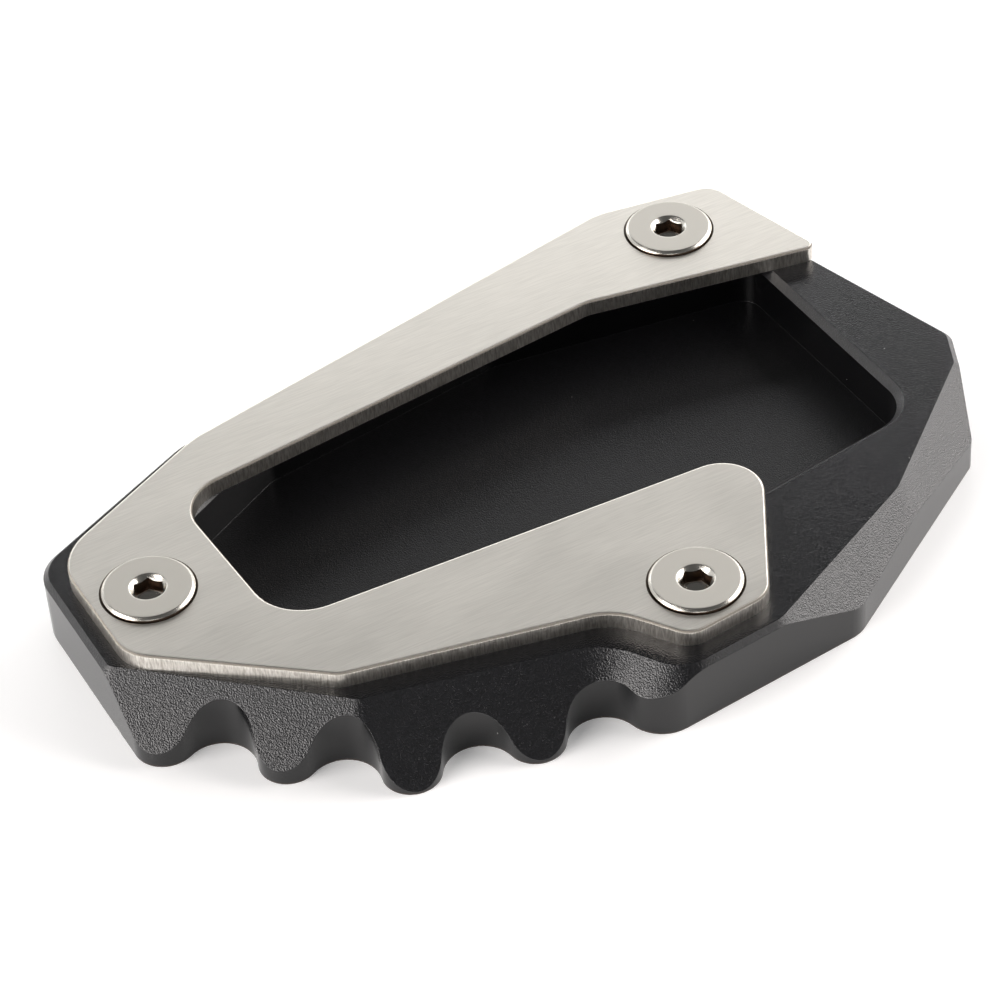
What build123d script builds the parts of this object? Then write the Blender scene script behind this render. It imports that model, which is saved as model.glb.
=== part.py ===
from build123d import *
import os
from math import radians, sqrt, tan

# Kickstand foot enlarger: a milled base block with a pocket for the foot of the
# side stand, a C-shaped clamp plate that closes over the foot, and three
# countersunk screws. Millimetres, +Z up, the underside at z = 0, +X along the
# straight front wall, and the origin under the middle of the block.

# Heights
BASE_HEIGHT = 7.8
PLATE_THICKNESS = 2.0
POCKET_DEPTH = 6.0
PLATE_TOP = BASE_HEIGHT + PLATE_THICKNESS

# Upright walls of the base, seen from above: corners as (x, y, rounding radius)
FRONT_WALL_Y = -34.3
WALL_CORNERS = [
    (18.7, FRONT_WALL_Y, 4.5),
    (45.2, -20.8, 2.0),
    (52.2, -8.6, 2.5),
    (45.3, 30.9, 3.0),
    (32.6, 34.4, 8.0),
    (-26.9, 29.2, 10.0),
    (-49.7, 21.1, 5.0),
]
LEFT_WALL_FOOT = (-52.1, -3.8)
BEVEL = 0.6

# Scallops along the left front edge, and the rounded teeth between them
SCALLOPS = [(-46.05, -9.8), (-37.1, -19.7), (-24.9, -26.6), (-12.4, -31.0)]
SCALLOP_RADIUS = 3.9
TOOTH_RADIUS = 3.2
FIRST_TOOTH_RADIUS = 3.4
LAST_TOOTH_RADIUS = 4.3

# Top edges of the slopes, as lines from point to point, and the rounding radius
# where each one ends. The hollow's cone must still be open at the floor.
SLOPE_ANGLE = 45.0
HOLLOW_ROUND_AT_FLOOR = 0.8
FRONT_LEFT_CORNER = (-32.8, -16.8)
HOLLOW_CORNER = (-8.2, -25.4)
RIGHT_CORNER = (30.9, -25.3)
LEFT_SLOPE = ((-50.8, 3.3), FRONT_LEFT_CORNER, 1.5)
FRONT_SLOPE = (FRONT_LEFT_CORNER, HOLLOW_CORNER, BASE_HEIGHT + HOLLOW_ROUND_AT_FLOOR)
HOLLOW_SIDE_SLOPE = (HOLLOW_CORNER, (-4.1, -33.6), 4.5)
RIGHT_SLOPE = ((8.6, -33.7), RIGHT_CORNER, 6.0)
RIGHT_END_SLOPE = (RIGHT_CORNER, (49.0, -12.9), 1.0)
LEFT_SLOPE_START_ROUND = 1.0
RIGHT_SLOPE_START_ROUND = 4.0

# Pocket for the stand's foot
POCKET_CHAMFER = 0.8
POCKET_CORNERS = [
    (40.6, -15.7, 4.8),
    (42.8, 16.5, 2.6),
    (12.0, 24.7, 6.0),
    (-19.0, 23.5, 3.0),
    (-36.4, 16.4, 5.0),
    (-36.4, -2.8, 6.0),
    (-26.5, -12.9, 6.0),
    (-10.0, -17.9, 8.0),
]

# Clamp plate: the outer edge from its right rear corner, then the slot for the leg
PLATE_EDGE_ROUND = 0.3
PLATE_CORNERS = [
    (46.2, 28.3, 2.8),
    (32.2, 32.2, 8.0),
    (-26.3, 27.0, 10.0),
    (-47.9, 19.1, 7.0),
    (-49.4, 1.8, 5.0),
    (-33.4, -14.3, 3.0),
    (-5.8, -23.7, 7.0),
    (-1.5, -31.7, 2.8),
    (8.6, -31.7, 3.5),
    (22.5, -12.4, 4.6),
    (-34.0, -4.0, 6.0),
    (-32.8, 19.4, 5.2),
    (21.7, 19.4, 4.0),
    (48.95, 11.2, 1.0),
]

# Screws, M5, countersunk, with a hexagon socket: (x, y, how far the socket is turned)
SCREWS = {
    "screw_left": (-42.5, 8.75, 2.0),
    "screw_right": (37.1, 24.45, -8.0),
    "screw_front": (3.7, -25.5, 36.0),
}
SCREW_LENGTH = 8.0
SHANK_DIAMETER = 5.0
HEAD_DIAMETER = 10.0
HEAD_PROUD = 0.5
HEAD_EDGE_CHAMFER = 0.3
TIP_CHAMFER = 0.6
SOCKET_ACROSS_FLATS = 3.0
SOCKET_DEPTH = 2.0
SOCKET_MOUTH_DIAMETER = 4.1
SOCKET_MOUTH_ANGLE = 90.0
SOCKET_POINT_DIAMETER = 2.8
SOCKET_POINT_ANGLE = 120.0

# Holes that the screws pass through and screw into
HEAD_CLEARANCE = 0.25
COUNTERSINK_DIAMETER = HEAD_DIAMETER + 2 * HEAD_CLEARANCE
COUNTERSINK_ANGLE = 90.0
THREAD_CLEARANCE = 0.05
SEAT_CLEARANCE = 0.02


def rounded_outline(corners):
    """A closed outline through (x, y, radius) corners."""
    points = [(x, y) for x, y, radius in corners]
    radii = [radius for x, y, radius in corners]
    FilletPolyline(*points, radius=radii, close=True)


def wall_line(start, end, inset=0.0):
    """A point and a direction of the line from start to end, moved inwards by inset."""
    start = Vector(*start[:2])
    along = (Vector(*end[:2]) - start).normalized()
    return start + Vector(-along.Y, along.X) * inset, along


def crossing(first, second):
    """Where two lines cross, each given as a point and a direction."""
    (point, along), (other_point, other_along) = first, second
    run = (other_point - point).cross(other_along).Z / along.cross(other_along).Z
    return point + along * run


def flat_top_outline():
    """The flat top's edge: one bevel inside the walls, and along the slopes."""
    lines = [(wall_line(WALL_CORNERS[-1], LEFT_WALL_FOOT, BEVEL), LEFT_SLOPE_START_ROUND)]
    for start, end, radius in (LEFT_SLOPE, FRONT_SLOPE, HOLLOW_SIDE_SLOPE):
        lines.append((wall_line(start, end), radius))
    front_wall = wall_line((0.0, FRONT_WALL_Y), WALL_CORNERS[0], BEVEL)
    lines.append((front_wall, RIGHT_SLOPE_START_ROUND))
    for start, end, radius in (RIGHT_SLOPE, RIGHT_END_SLOPE):
        lines.append((wall_line(start, end), radius))
    for start, end in zip(WALL_CORNERS[1:], WALL_CORNERS[2:]):
        lines.append((wall_line(start, end, BEVEL), end[2] - BEVEL))

    points = []
    for (line, radius), (next_line, next_radius) in zip(lines, lines[1:] + lines[:1]):
        points.append(crossing(line, next_line))
    FilletPolyline(*points, radius=[radius for line, radius in lines], close=True)


def tooth_between(first, second):
    """Centre of the tooth that touches two scallops from the block's side."""
    start = Vector(*first)
    span = Vector(*second) - start
    inward = Vector(-span.Y, span.X).normalized()
    reach = SCALLOP_RADIUS + TOOTH_RADIUS
    return start + span / 2 + inward * sqrt(reach**2 - (span.length / 2) ** 2)


def end_tooth(scallop, wall_start, wall_end, radius, way):
    """Centre of the tooth between a scallop and a straight wall, and its wall point."""
    start = Vector(*wall_start)
    along = (Vector(*wall_end) - start).normalized()
    inward = Vector(-along.Y, along.X)
    offset = Vector(*scallop) - start
    run = sqrt((SCALLOP_RADIUS + radius) ** 2 - (radius - offset.dot(inward)) ** 2)
    touch = start + along * (offset.dot(along) + way * run)
    return touch + inward * radius, touch


def cone_height(wide, narrow, angle):
    """Height of a cone between two diameters, with angle between its sides."""
    return (wide - narrow) / 2 / tan(radians(angle / 2))


def toothed_edge():
    """The arcs of the scalloped edge. Returns its two ends, on the straight walls."""
    left_corner = WALL_CORNERS[-1][:2]
    front_corner = WALL_CORNERS[0][:2]
    front_end = (0.0, FRONT_WALL_Y)
    first, left_touch = end_tooth(
        SCALLOPS[0], left_corner, LEFT_WALL_FOOT, FIRST_TOOTH_RADIUS, -1
    )
    last, front_touch = end_tooth(
        SCALLOPS[-1], front_end, front_corner, LAST_TOOTH_RADIUS, 1
    )
    circles = [(first, FIRST_TOOTH_RADIUS)]
    for here, following in zip(SCALLOPS, SCALLOPS[1:]):
        circles.append((Vector(*here), SCALLOP_RADIUS))
        circles.append((tooth_between(here, following), TOOTH_RADIUS))
    circles.append((Vector(*SCALLOPS[-1]), SCALLOP_RADIUS))
    circles.append((last, LAST_TOOTH_RADIUS))

    joints = [left_touch]
    for (centre, radius), (next_centre, next_radius) in zip(circles, circles[1:]):
        share = radius / (radius + next_radius)
        joints.append(centre + (next_centre - centre) * share)
    joints.append(front_touch)
    for (centre, radius), start, end in zip(circles, joints, joints[1:]):
        bulge = (start - centre + end - centre).normalized()
        ThreePointArc(start, centre + bulge * radius, end)
    return left_touch, front_touch


os.makedirs("parts", exist_ok=True)

# Base block
with BuildPart() as base:
    with BuildSketch():
        with BuildLine():
            left_touch, front_touch = toothed_edge()
            wall_points = [(x, y) for x, y, radius in WALL_CORNERS]
            wall_radii = [radius for x, y, radius in WALL_CORNERS]
            FilletPolyline(front_touch, *wall_points, left_touch, radius=wall_radii)
        make_face()
    extrude(amount=BASE_HEIGHT)

    # The bevel and the slopes are the sides of one tapered block, wider at the floor
    with BuildSketch():
        with BuildLine():
            flat_top_outline()
        make_face()
        offset(amount=BASE_HEIGHT * tan(radians(SLOPE_ANGLE)), kind=Kind.INTERSECTION)
    extrude(amount=BASE_HEIGHT, taper=SLOPE_ANGLE, mode=Mode.INTERSECT)

    with BuildSketch(Plane.XY.offset(BASE_HEIGHT)):
        with BuildLine():
            rounded_outline(POCKET_CORNERS)
        make_face()
    extrude(amount=-POCKET_DEPTH, mode=Mode.SUBTRACT)
    flat_top = base.faces().filter_by(Plane.XY).sort_by(Axis.Z)[-1]
    chamfer(flat_top.inner_wires()[0].edges(), length=POCKET_CHAMFER)

    # Threaded holes. Their mouths carry on the cones of the plate's countersinks.
    cone_narrows = PLATE_THICKNESS * tan(radians(COUNTERSINK_ANGLE / 2))
    with Locations(*[(x, y, BASE_HEIGHT) for x, y, turn in SCREWS.values()]):
        CounterSinkHole(
            radius=SHANK_DIAMETER / 2 + THREAD_CLEARANCE,
            counter_sink_radius=COUNTERSINK_DIAMETER / 2 - cone_narrows,
            counter_sink_angle=COUNTERSINK_ANGLE,
        )
base.part.label = "base"
export_step(base.part, "parts/base.step")

# Clamp plate
with BuildPart() as plate:
    with BuildSketch(Plane.XY.offset(BASE_HEIGHT)):
        with BuildLine():
            rounded_outline(PLATE_CORNERS)
        make_face()
    extrude(amount=PLATE_THICKNESS)
    fillet(plate.faces().sort_by(Axis.Z)[-1].edges(), radius=PLATE_EDGE_ROUND)
    with Locations(*[(x, y, PLATE_TOP) for x, y, turn in SCREWS.values()]):
        CounterSinkHole(
            radius=SHANK_DIAMETER / 2 + THREAD_CLEARANCE,
            counter_sink_radius=COUNTERSINK_DIAMETER / 2,
            counter_sink_angle=COUNTERSINK_ANGLE,
        )
plate.part.label = "clamp_plate"
export_step(plate.part, "parts/clamp_plate.step")

# Screws. The cone under each head sits in the plate's countersink, which is wider
# than the head, so the rim of the head starts below the plate's top.
rim_drop = cone_height(COUNTERSINK_DIAMETER, HEAD_DIAMETER, COUNTERSINK_ANGLE)
rim_z = PLATE_TOP - rim_drop + SEAT_CLEARANCE
neck_z = rim_z - cone_height(HEAD_DIAMETER, SHANK_DIAMETER, COUNTERSINK_ANGLE)
head_top = PLATE_TOP + HEAD_PROUD
tip_z = head_top - SCREW_LENGTH
mouth_depth = cone_height(SOCKET_MOUTH_DIAMETER, SOCKET_POINT_DIAMETER, SOCKET_MOUTH_ANGLE)
point_depth = cone_height(SOCKET_POINT_DIAMETER, 0, SOCKET_POINT_ANGLE)
for name, (x, y, turn) in SCREWS.items():
    with BuildPart() as screw:
        with BuildSketch(Plane(origin=(x, y, 0), x_dir=(1, 0, 0), z_dir=(0, -1, 0))):
            with BuildLine():
                Polyline(
                    (0, tip_z),
                    (SHANK_DIAMETER / 2 - TIP_CHAMFER, tip_z),
                    (SHANK_DIAMETER / 2, tip_z + TIP_CHAMFER),
                    (SHANK_DIAMETER / 2, neck_z),
                    (HEAD_DIAMETER / 2, rim_z),
                    (HEAD_DIAMETER / 2, head_top),
                    (0, head_top),
                    close=True,
                )
            make_face()
        revolve(axis=Axis((x, y, 0), (0, 0, 1)))
        chamfer(screw.edges().sort_by(Axis.Z)[-1], length=HEAD_EDGE_CHAMFER)
        with BuildSketch(Plane((x, y, head_top))):
            RegularPolygon(
                radius=SOCKET_ACROSS_FLATS / 2,
                side_count=6,
                major_radius=False,
                rotation=turn,
            )
        extrude(amount=-SOCKET_DEPTH, mode=Mode.SUBTRACT)
        with Locations((x, y, head_top - mouth_depth)):
            Cone(
                bottom_radius=SOCKET_POINT_DIAMETER / 2,
                top_radius=SOCKET_MOUTH_DIAMETER / 2,
                height=mouth_depth,
                align=(Align.CENTER, Align.CENTER, Align.MIN),
                mode=Mode.SUBTRACT,
            )
        with Locations((x, y, head_top - SOCKET_DEPTH - point_depth)):
            Cone(
                bottom_radius=0,
                top_radius=SOCKET_POINT_DIAMETER / 2,
                height=point_depth,
                align=(Align.CENTER, Align.CENTER, Align.MIN),
                mode=Mode.SUBTRACT,
            )
    screw.part.label = name
    export_step(screw.part, f"parts/{name}.step")
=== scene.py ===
# %% [markdown]
# # A kickstand foot enlarger on a white table
# The part is a black milled block that widens the foot of a motorbike's side
# stand. A brushed steel plate and three screws clamp it on. The CAD model has
# every edge, pocket and screw already, so this lesson is about finishes, and
# about lamps that let them be seen.

import math

import bpy
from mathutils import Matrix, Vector

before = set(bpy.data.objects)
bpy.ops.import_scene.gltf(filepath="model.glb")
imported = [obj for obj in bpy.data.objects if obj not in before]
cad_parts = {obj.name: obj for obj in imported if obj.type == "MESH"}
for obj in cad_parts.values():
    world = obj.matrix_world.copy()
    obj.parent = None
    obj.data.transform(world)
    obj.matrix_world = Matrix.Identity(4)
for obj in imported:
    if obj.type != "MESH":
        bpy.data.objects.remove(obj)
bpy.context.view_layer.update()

# %% [markdown]
# ## Small helpers
# Colours are written as people read them off a screen, in sRGB hex, and one
# function turns them into the linear values that a shader wants. One function
# adds any node, fills its inputs and links them, so a material reads as a list.
# Inputs go by name, or by number where names repeat or run long. A MapRange
# takes the value as 0, its range as 1 and 2 and the new range as 3 and 4. A Mix
# takes the factor as 0, two vectors as 4 and 5, or two colours as 6 and 7.

# %% Colour and node helpers
MM = 0.001


def colour(text):
    """An sRGB hex colour, such as "#808080", as linear RGBA."""
    channels = [int(text[i:i + 2], 16) / 255 for i in (1, 3, 5)]
    linear = [c / 12.92 if c <= 0.04045 else ((c + 0.055) / 1.055) ** 2.4 for c in channels]
    return (*linear, 1.0)


def node(tree, kind, inputs=None, **settings):
    """Adds a shader node. Each input is a plain value, or a socket to link."""
    made = tree.nodes.new("ShaderNode" + kind)
    for name, value in settings.items():
        setattr(made, name, value)
    for key, value in (inputs or {}).items():
        if isinstance(value, bpy.types.NodeSocket):
            tree.links.new(value, made.inputs[key])
        else:
            made.inputs[key].default_value = value
    return next((output for output in made.outputs if output.enabled), None)


def start_material(name):
    """A new material with an empty node tree."""
    material = bpy.data.materials.new(name)
    material.use_nodes = True
    material.node_tree.nodes.clear()
    return material, material.node_tree


print("#808080 in linear light is", round(colour("#808080")[0], 3))

# %% [markdown]
# ## Where on the block a point lies
# Patterns need real millimetres. Every CAD node sits at the origin in metres, so
# its object coordinates are its true place. Multiplied by 1000 they are
# millimetres, and so are all the sizes below, unless they say metres. The face's
# own direction tells the flat top from slopes and walls.

# %% Coordinates in millimetres
OFF_THE_WALLS = {1: 0.3, 2: 0.6}  # how far a face looks up: walls 0, slopes 0.7, the top 1
ON_TOP = {1: 0.8, 2: 0.95}
LEVEL = {1: 0.9, 2: 0.98}
MIDDLE = {1: 0.3, 2: 0.7}  # most of a noise lies in this range
CRISP = {1: 0.35, 2: 0.65}


def millimetres(tree):
    """The point on the piece, in millimetres."""
    place = node(tree, "TexCoord").node.outputs["Object"]
    return node(tree, "VectorMath", {0: place, 1: (1000, 1000, 1000)}, operation="MULTIPLY")


def steepness(tree):
    """1 on level faces, 0 on upright walls: how far the face looks up."""
    facing = node(tree, "NewGeometry").node.outputs["True Normal"]
    upright = node(tree, "SeparateXYZ", {0: facing}).node.outputs["Z"]
    return node(tree, "Math", {0: upright}, operation="ABSOLUTE")


def stretched(tree, place, size, turn=0.0):
    """Coordinates in which one unit is size millimetres, turned about Z in degrees."""
    turned = node(tree, "VectorRotate", {"Vector": place, "Angle": math.radians(-turn)})
    scale = tuple(1 / side for side in size)
    return node(tree, "VectorMath", {0: turned, 1: scale}, operation="MULTIPLY")


print("helpers ready:", millimetres.__name__, steepness.__name__, stretched.__name__)

# %% [markdown]
# ## Black anodised aluminium, blasted
# The block is milled, blasted with fine beads and anodised black. The dyed oxide
# is a thin glassy skin, so it isn't painted as bare metal: it behaves like dark
# glass with a rough top. Head on it is nearly black, and at a low angle it
# shines grey. The blasting leaves a fine pebble grain on the faces that look up.
# The walls were milled after it and are smoother.
#
# The grain could be modelled, but it is about as fine as a hair, so a bump does it.
# The tops of the grain also hold less dye, which lets it show where no lamp shines.

# %% Relief of the block
GRAIN = 0.16  # a bead's dimple is about 0.1 mm, drawn coarser so that it shows
GRAIN_DEPTH = 0.07
MILLED_LINE = 0.35  # spacing of the cutter's lines on the walls
MILLED_DEPTH = 0.004
EDGE_BREAK = 0.1  # the tumbled edges catch a thin line of light
TOP_GRAIN = 0.5  # strength of the relief, where it is 1 on the slopes
WALL_GRAIN = 0.04
WALL_LINES = 0.5


def block_relief(tree, place, up, blasted, grain):
    """Pebble grain on the blasted faces, faint upright cutter lines on the walls."""
    fineness = node(tree, "MapRange", {0: up, **ON_TOP, 3: 1.0, 4: TOP_GRAIN})
    amount = node(tree, "MapRange", {0: blasted, 3: WALL_GRAIN, 4: 1.0})
    coarse = node(tree, "Math", {0: amount, 1: fineness}, operation="MULTIPLY")
    edge = node(tree, "Bevel", {"Radius": EDGE_BREAK * MM}, samples=4)
    dimples = node(
        tree,
        "Bump",
        {"Strength": coarse, "Distance": GRAIN_DEPTH * MM, "Height": grain, "Normal": edge},
    )
    along = stretched(tree, place, (MILLED_LINE, MILLED_LINE, 12.0))
    lines = node(tree, "TexNoise", {"Vector": along, "Scale": 1.0, "Detail": 1.0})
    smooth = node(tree, "MapRange", {0: blasted, 3: WALL_LINES, 4: 0.0})
    return node(
        tree,
        "Bump",
        {"Strength": smooth, "Distance": MILLED_DEPTH * MM, "Height": lines, "Normal": dimples},
    )


print("grain", GRAIN, "mm wide and", GRAIN_DEPTH, "mm deep")

# %% [markdown]
# Three small things keep the black from looking painted: the dye is slightly
# uneven over centimetres, a few specks of dust lie on it, and along the sharp
# foot of the walls a thin brown line of light is painted in: a painted
# reflection of the table where the walls meet it.

# %% Colour of the block
DYE = ("#050506", "#09090A")
MOTTLE = (9.0, 9.0, 9.0)  # size in mm of the uneven patches of dye
GRAIN_TOPS = "#17171A"
DUST = "#8F8F8C"
SPECK = 0.06  # widest radius of a speck of dust
SPECK_CELL = 3.0  # the specks are spread over cells of this size
SPECK_ABOVE = 0.55  # only a cell with a random tone above this can have one
# Painted reflection: a thin brown line of light along the foot of the walls, where they meet the
# table.
PAINTED_FOOT_REFLECTION = "#3A2F28"
FOOT_LINE = 0.25  # height of the painted reflection line
FOOT_REFLECTION_STRENGTH = 0.7
NOT_UNDERNEATH = {1: 0.5, 2: 0.9}  # how far a face may look up or down to carry the painted reflection


def block_colour(tree, place, height, up, blasted, grain):
    """Dyed black with a mottle, paler grain tops, specks and a painted reflection along the foot.
    """
    wide = stretched(tree, place, MOTTLE)
    mottle = node(tree, "TexNoise", {"Vector": wide, "Scale": 1.0, "Detail": 3.0})
    dyed = node(
        tree,
        "Mix",
        {
            0: node(tree, "MapRange", {0: mottle, **MIDDLE}),
            6: colour(DYE[0]),
            7: colour(DYE[1]),
        },
        data_type="RGBA",
    )
    tops = node(tree, "MapRange", {0: grain, **CRISP})
    tops = node(tree, "Math", {0: tops, 1: blasted}, operation="MULTIPLY")
    grained = node(tree, "Mix", {0: tops, 6: dyed, 7: colour(GRAIN_TOPS)}, data_type="RGBA")

    in_cells = stretched(tree, place, (SPECK_CELL,) * 3)
    cells = node(tree, "TexVoronoi", {"Vector": in_cells, "Scale": 1.0}).node.outputs
    near = node(tree, "Math", {0: cells["Distance"], 1: SPECK / SPECK_CELL}, operation="LESS_THAN")
    chosen = node(tree, "Math", {0: cells["Color"], 1: SPECK_ABOVE}, operation="GREATER_THAN")
    speck = node(tree, "Math", {0: near, 1: chosen}, operation="MULTIPLY")
    dusted = node(tree, "Mix", {0: speck, 6: grained, 7: colour(DUST)}, data_type="RGBA")

    # Painted reflection: a thin brown line along the foot of the upright faces.
    foot = node(tree, "MapRange", {0: height, 1: FOOT_LINE / 2, 2: FOOT_LINE, 3: FOOT_REFLECTION_STRENGTH, 4: 0.0})
    upright = node(tree, "MapRange", {0: up, **NOT_UNDERNEATH, 3: 1.0, 4: 0.0})
    reflected = node(tree, "Math", {0: foot, 1: upright}, operation="MULTIPLY")
    return node(tree, "Mix", {0: reflected, 6: dusted, 7: colour(PAINTED_FOOT_REFLECTION)}, data_type="RGBA")


print("specks", SPECK, "mm, worn line", FOOT_LINE, "mm high")

# %% [markdown]
# The floor of the pocket is duller and darker than the top. A higher roughness,
# and a little metallic with the nearly black base colour, take the shine down
# without touching the IOR. The darkening is painted shade, standing in for the
# shade that the plate and the walls cast into the pocket.

# %% Make the anodised aluminium
OXIDE_IOR = 1.53
POCKET_FLOOR = 1.8  # its height
NEAR_THE_FLOOR = 0.3
WALL_ROUGHNESS = 0.18
SLOPE_ROUGHNESS = 0.3
TOP_ROUGHNESS = 0.2
POCKET_ROUGHNESS = 0.42
# Painted shade: this metallic over the nearly black base colour darkens the pocket floor.
POCKET_SHADE_METALLIC = 0.35


def anodised_aluminium():
    """The block's finish: blasted above, milled on the walls, duller in the pocket and darkened
    there as painted shade.
    """
    material, tree = start_material("black anodised aluminium, blasted")
    place = millimetres(tree)
    up = steepness(tree)
    height = node(tree, "SeparateXYZ", {0: place}).node.outputs["Z"]
    blasted = node(tree, "MapRange", {0: up, **OFF_THE_WALLS})
    level = node(tree, "MapRange", {0: up, **LEVEL})
    low = node(
        tree,
        "Math",
        {0: height, 1: POCKET_FLOOR, 2: NEAR_THE_FLOOR},
        operation="COMPARE",
    )
    floor = node(tree, "Math", {0: level, 1: low}, operation="MULTIPLY")
    fine = stretched(tree, place, (GRAIN,) * 3)
    grain = node(tree, "TexNoise", {"Vector": fine, "Scale": 1.0, "Detail": 1.0})

    slope_or_top = node(
        tree,
        "MapRange",
        {0: up, **ON_TOP, 3: SLOPE_ROUGHNESS, 4: TOP_ROUGHNESS},
    )
    rough = node(tree, "MapRange", {0: blasted, 3: WALL_ROUGHNESS, 4: slope_or_top})
    skin = node(
        tree,
        "BsdfPrincipled",
        {
            "Base Color": block_colour(tree, place, height, up, blasted, grain),
            "Roughness": node(tree, "MapRange", {0: floor, 3: rough, 4: POCKET_ROUGHNESS}),
            # Painted shade: metallic over the nearly black base colour darkens the pocket floor.
            "Metallic": node(tree, "MapRange", {0: floor, 3: 0.0, 4: POCKET_SHADE_METALLIC}),
            "IOR": OXIDE_IOR,
            "Normal": block_relief(tree, place, up, blasted, grain),
        },
    )
    node(tree, "OutputMaterial", {"Surface": skin})
    return material


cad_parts["base"].material_slots[0].material = anodised_aluminium()
print("base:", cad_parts["base"].material_slots[0].material.name)

# %% [markdown]
# ## Brushed stainless steel
# The plate was cut from 2 mm sheet and brushed along its length. Each stroke is a
# tiny groove that throws light sideways, so the shine is drawn out across the
# brushing. A bump draws the few strokes that can be seen, and an anisotropic
# shine, turned with the brushing, stands for the rest. The cut edge was only
# deburred: it keeps the cutter's fine upright lines. Its rounded rim is rougher
# than both faces and painted darker, a painted shade that damps the line of
# light along the rounding.

# %% Relief of the plate
BRUSH_TURN = -6.0  # degrees from +X, the way that the strokes run
STROKE = (3.5, 0.15, 3.5)  # a stroke's length and width in mm, coarser than a real one
STROKE_DEPTH = 0.0025
CUT_LINE = (0.18, 0.18, 1.2)  # width and height in mm of the lines on the cut edge
CUT_DEPTH = 0.045


def plate_relief(tree, level, strokes, cuts):
    """Strokes on the level faces, upright lines on the cut edge."""
    edge = node(tree, "MapRange", {0: level, 3: 1.0, 4: 0.0})
    brushed = node(
        tree,
        "Bump",
        {"Strength": level, "Distance": STROKE_DEPTH * MM, "Height": strokes},
    )
    return node(
        tree,
        "Bump",
        {"Strength": edge, "Distance": CUT_DEPTH * MM, "Height": cuts, "Normal": brushed},
    )


def plate_tangent(tree, level):
    """Across the brushing on the level faces, and round the plate on its edge."""
    along = math.radians(BRUSH_TURN)
    facing = node(tree, "NewGeometry").node.outputs["Normal"]
    round_the_edge = node(tree, "VectorMath", {0: facing, 1: (0, 0, 1)}, operation="CROSS_PRODUCT")
    across = (-math.sin(along), math.cos(along), 0.0)
    return node(tree, "Mix", {0: level, 4: round_the_edge, 5: across}, data_type="VECTOR")


print("strokes", STROKE[1], "mm wide, cutter lines", CUT_LINE[0], "mm wide")

# %% Colour of the plate
STEEL = ("#DCD8D0", "#E8E4DC")  # between and on the strokes
CUT_EDGE = ("#C4BEB6", "#F0ECE4")  # between and on the cutter's lines
# Painted shade on the rounded rim, darker so that its line of light is damped.
PAINTED_RIM_SHADE = "#8E8981"


def plate_colour(tree, level, rim, strokes, cuts):
    """A warm grey steel, paler in the cutter's lines and darker on the rim as painted shade."""
    top = node(
        tree,
        "Mix",
        {
            0: node(tree, "MapRange", {0: strokes, **MIDDLE}),
            6: colour(STEEL[0]),
            7: colour(STEEL[1]),
        },
        data_type="RGBA",
    )
    edge = node(
        tree,
        "Mix",
        {
            0: node(tree, "MapRange", {0: cuts, **CRISP}),
            6: colour(CUT_EDGE[0]),
            7: colour(CUT_EDGE[1]),
        },
        data_type="RGBA",
    )
    whole = node(tree, "Mix", {0: level, 6: edge, 7: top}, data_type="RGBA")
    # Painted shade: the rim is darkened.
    return node(tree, "Mix", {0: rim, 6: whole, 7: colour(PAINTED_RIM_SHADE)}, data_type="RGBA")


print("steel tones from", STEEL[0], "to", STEEL[1])

# %% Make the brushed steel
PLATE_TOP = {1: 0.8, 2: 0.98}  # how far its faces look up
NOT_THE_EDGE = {1: 0.1, 2: 0.4}
HAND = (12.0, 7.0, 9.0)  # size in mm of the patches that the brushing left duller
STEEL_ROUGHNESS = {3: 0.34, 4: 0.4}
RIM_DULLING = 0.4
ANISOTROPY = 0.5


def brushed_steel():
    """The plate's finish: brushed faces, a cut edge and a dull rim between them, painted darker as
    shade.
    """
    material, tree = start_material("stainless steel, brushed")
    place = millimetres(tree)
    up = steepness(tree)
    level = node(tree, "MapRange", {0: up, **PLATE_TOP})
    tilted = node(tree, "MapRange", {0: up, **NOT_THE_EDGE})
    not_level = node(tree, "MapRange", {0: level, 3: 1.0, 4: 0.0})
    rim = node(tree, "Math", {0: tilted, 1: not_level}, operation="MULTIPLY")

    brushing = stretched(tree, place, STROKE, BRUSH_TURN)
    strokes = node(tree, "TexNoise", {"Vector": brushing, "Scale": 1.0, "Detail": 3.0})
    cutting = stretched(tree, place, CUT_LINE)
    cuts = node(tree, "TexNoise", {"Vector": cutting, "Scale": 1.0, "Detail": 2.0})
    patches = stretched(tree, place, HAND)
    clouds = node(tree, "TexNoise", {"Vector": patches, "Scale": 1.0, "Detail": 3.0})

    hazy = node(tree, "MapRange", {0: clouds, **MIDDLE, **STEEL_ROUGHNESS})
    dull = node(tree, "Math", {0: rim, 1: RIM_DULLING}, operation="MULTIPLY")
    steel = node(
        tree,
        "BsdfPrincipled",
        {
            "Base Color": plate_colour(tree, level, rim, strokes, cuts),
            "Roughness": node(tree, "Math", {0: hazy, 1: dull}, operation="ADD"),
            "Metallic": 1.0,
            "Anisotropic": ANISOTROPY,
            "Normal": plate_relief(tree, level, strokes, cuts),
            "Tangent": plate_tangent(tree, level),
        },
    )
    node(tree, "OutputMaterial", {"Surface": steel})
    return material


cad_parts["clamp_plate"].material_slots[0].material = brushed_steel()
print("clamp_plate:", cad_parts["clamp_plate"].material_slots[0].material.name)

# %% [markdown]
# ## Bright nickel-plated screws
# The flat of each head is satin. Its chamfered rim and the mouth of its socket
# are much brighter, because the plating follows a turned surface there. The
# walls of the hexagon were punched. They are painted dark and brownish, partly
# for oil in the socket and partly as painted shade down in the deep hole. One
# metal with two roughnesses says this, chosen by how far the face looks up.

# %% Make the nickel plating
NICKEL = "#BDBAB3"
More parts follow.
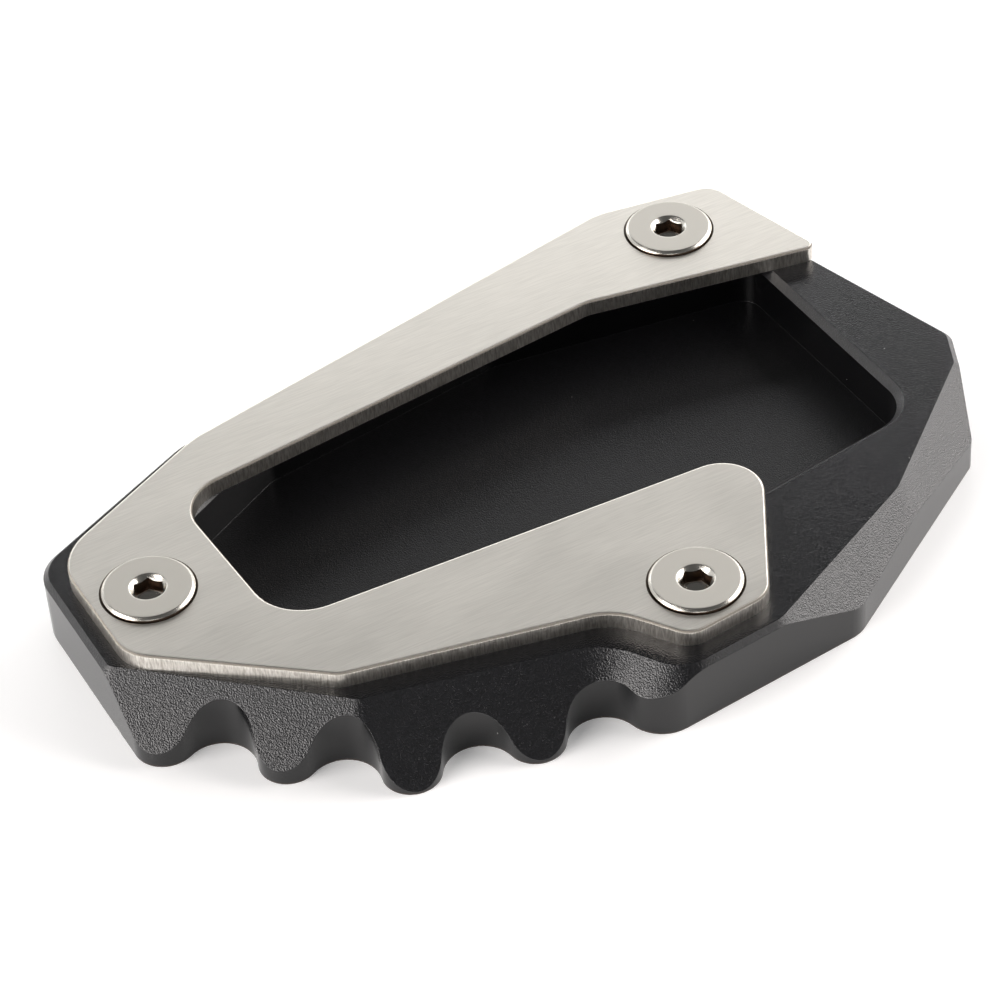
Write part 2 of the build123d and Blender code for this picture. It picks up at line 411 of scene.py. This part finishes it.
# Painted dark brown on the hexagon's walls: partly oil, partly painted shade in the deep socket.
SOCKET_OIL_AND_SHADE = "#75665B"
HEAD_FLAT = {1: 0.9, 2: 0.99}  # how far its faces look up
HEXAGON = {1: 0.2, 2: 0.5}
SOFT_EDGE = 0.3  # the plating rounds the turned edges
HAZE = (0.3, 0.3, 0.3)
HAZE_DEPTH = 0.008
FLAT_HAZE = 0.1  # strength on the flat, where it is 1 on the turned faces
TURNED_ROUGHNESS = 0.25
FLAT_ROUGHNESS = 0.55


def nickel_plated_steel():
    """The screws' finish: a satin flat, bright turned faces and a hexagon painted dark, for oil and
    as painted shade.
    """
    material, tree = start_material("steel, nickel plated")
    place = millimetres(tree)
    up = steepness(tree)
    flat = node(tree, "MapRange", {0: up, **HEAD_FLAT})
    punched = node(tree, "MapRange", {0: up, **HEXAGON, 3: 1.0, 4: 0.0})
    haze = node(
        tree,
        "TexNoise",
        {"Vector": stretched(tree, place, HAZE), "Scale": 1.0, "Detail": 2.0},
    )
    ripple = node(
        tree,
        "Bump",
        {
            "Strength": node(tree, "MapRange", {0: flat, 3: 1.0, 4: FLAT_HAZE}),
            "Distance": HAZE_DEPTH * MM,
            "Height": haze,
            "Normal": node(tree, "Bevel", {"Radius": SOFT_EDGE * MM}, samples=8),
        },
    )
    # The hexagon's walls take the dark tone: partly oil, partly painted shade.
    tone = node(
        tree,
        "Mix",
        {0: punched, 6: colour(NICKEL), 7: colour(SOCKET_OIL_AND_SHADE)},
        data_type="RGBA",
    )
    plating = node(
        tree,
        "BsdfPrincipled",
        {
            "Base Color": tone,
            "Metallic": 1.0,
            "Roughness": node(tree, "MapRange", {0: flat, 3: TURNED_ROUGHNESS, 4: FLAT_ROUGHNESS}),
            "Normal": ripple,
        },
    )
    node(tree, "OutputMaterial", {"Surface": plating})
    return material


nickel = nickel_plated_steel()
for name in ("screw_left", "screw_right", "screw_front"):
    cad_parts[name].material_slots[0].material = nickel
print("screws:", nickel.name)

# %% [markdown]
# ## The table
# The picture was taken on white paper, so bright that only the thin shadow under
# the block is left. The paper is a plain white sheet. A little light of its own,
# seen by the camera and by reflections but not cast on the part, takes it to
# white. It lies a hair below the block, so that the two faces aren't in one place.

# %% Lay the white table
WHITE = "#FFFFFF"
PAPER = "#FAFAFA"
PAPER_ROUGHNESS = 0.35
PAPER_GLOW = 0.18
TABLE_SIDE = 4.0  # metres
TABLE_DROP = 0.02  # mm


def white_paper():
    """White paper with a little light of its own, for the camera and reflections."""
    material, tree = start_material("white paper")
    rays = node(tree, "LightPath").node.outputs
    seen = node(
        tree,
        "Math",
        {0: rays["Is Camera Ray"], 1: rays["Is Glossy Ray"]},
        operation="MAXIMUM",
    )
    seen = node(tree, "Math", {0: seen, 1: rays["Is Transmission Ray"]}, operation="MAXIMUM")
    strength = node(tree, "Math", {0: seen, 1: PAPER_GLOW}, operation="MULTIPLY")
    paper = node(
        tree,
        "BsdfPrincipled",
        {"Base Color": colour(PAPER), "Roughness": PAPER_ROUGHNESS},
    )
    glow = node(tree, "Emission", {"Color": colour(WHITE), "Strength": strength})
    sheet = node(tree, "AddShader", {0: paper, 1: glow})
    node(tree, "OutputMaterial", {"Surface": sheet})
    return material


def white_table(side, drop):
    """A square sheet, side metres wide and drop metres below the block."""
    mesh = bpy.data.meshes.new("table")
    half = side / 2
    square = ((-half, -half), (half, -half), (half, half), (-half, half))
    corners = [(x, y, -drop) for x, y in square]
    mesh.from_pydata(corners, [], [(0, 1, 2, 3)])
    table = bpy.data.objects.new("table", mesh)
    bpy.context.collection.objects.link(table)
    mesh.materials.append(white_paper())
    return table


table = white_table(TABLE_SIDE, TABLE_DROP * MM)
print("table laid,", table.dimensions.x, "m wide")

# %% [markdown]
# ## Lamps
# Metal shows what stands round it, so the lamps are large soft boxes, low round
# the part. The widest one is behind it, where the top and the plate look from
# the camera's side. One at the right lights the right slopes, and one at the left
# the scalloped slope. They are a touch warmer, as the slopes are in the picture.
# In front there are only a narrow low one, for the cut edge of the plate, and the
# dim room, which keeps the front slope black.

# %% Hang the soft boxes
LAMP_DISTANCE = 0.9  # metres
WARM = "#FFFBF9"


def soft_box(name, azimuth, elevation, width, height, radiance, tint):
    """A lamp that looks at the part. Azimuth is from +X towards +Y, sizes in metres."""
    turn, lift = math.radians(azimuth), math.radians(elevation)
    away = Vector((
        math.cos(turn) * math.cos(lift),
        math.sin(turn) * math.cos(lift),
        math.sin(lift),
    ))
    data = bpy.data.lights.new(name, "AREA")
    data.shape = "RECTANGLE"
    data.size, data.size_y = width, height
    data.energy = radiance * math.pi * width * height  # as bright at any size
    data.color = colour(tint)[:3]
    lamp = bpy.data.objects.new(name, data)
    lamp.location = away * LAMP_DISTANCE
    lamp.rotation_mode = "QUATERNION"
    lamp.rotation_quaternion = away.to_track_quat("Z", "Y")
    bpy.context.collection.objects.link(lamp)
    return lamp


# Name, azimuth, elevation, width, height, brightness and tint
SOFT_BOXES = [
    ("soft box left", 178, 18, 0.76, 0.60, 9.6, WARM),
    ("soft box right", -9.5, 26, 1.09, 0.48, 8.1, WARM),
    ("soft box behind", 64, 15, 1.30, 0.56, 3.0, WHITE),
    ("soft box behind left", 122, 17, 0.88, 0.57, 1.0, WHITE),
    ("soft box front", -118, 5, 0.40, 0.14, 6.0, WHITE),
]
for box in SOFT_BOXES:
    print(soft_box(*box).name, "azimuth", box[1], "elevation", box[2])

# %% Light the room
ROOM_LIGHT = 0.12


def room(brightness):
    """The dim room for reflections, white for the camera."""
    world = bpy.data.worlds.new("room")
    world.use_nodes = True
    tree = world.node_tree
    tree.nodes.clear()
    seen = node(tree, "LightPath").node.outputs["Is Camera Ray"]
    dim = node(tree, "Background", {"Color": colour(WHITE), "Strength": brightness})
    white = node(tree, "Background", {"Color": colour(WHITE), "Strength": 1.0})
    both = node(tree, "MixShader", {0: seen, 1: dim, 2: white})
    node(tree, "OutputWorld", {"Surface": both})
    bpy.context.scene.world = world


room(ROOM_LIGHT)
bpy.context.scene.view_settings.view_transform = "Standard"
print("room lit")

# %% [markdown]
# ## Camera
# The photograph was taken from the front left, 42 degrees above the table and
# about 0.4 m away, with a long lens. Its place was solved from the round
# countersinks and heads of the screws.

# %% Place the camera
LENS = 129.51  # mm
SENSOR = 36.0  # mm wide
CAMERA_PLACE = Vector((-156.69, -248.11, 266.33)) * MM
CAMERA_TURN = [math.radians(angle) for angle in (48.277, 3.187, -34.496)]

view = bpy.data.cameras.new("photograph")
view.lens = LENS
view.sensor_width = SENSOR
view.clip_start, view.clip_end = 0.01, 20.0
camera = bpy.data.objects.new("photograph", view)
camera.location = CAMERA_PLACE
camera.rotation_euler = CAMERA_TURN
bpy.context.collection.objects.link(camera)
bpy.context.scene.camera = camera
print("camera", round(camera.location.length, 3), "m from the part")
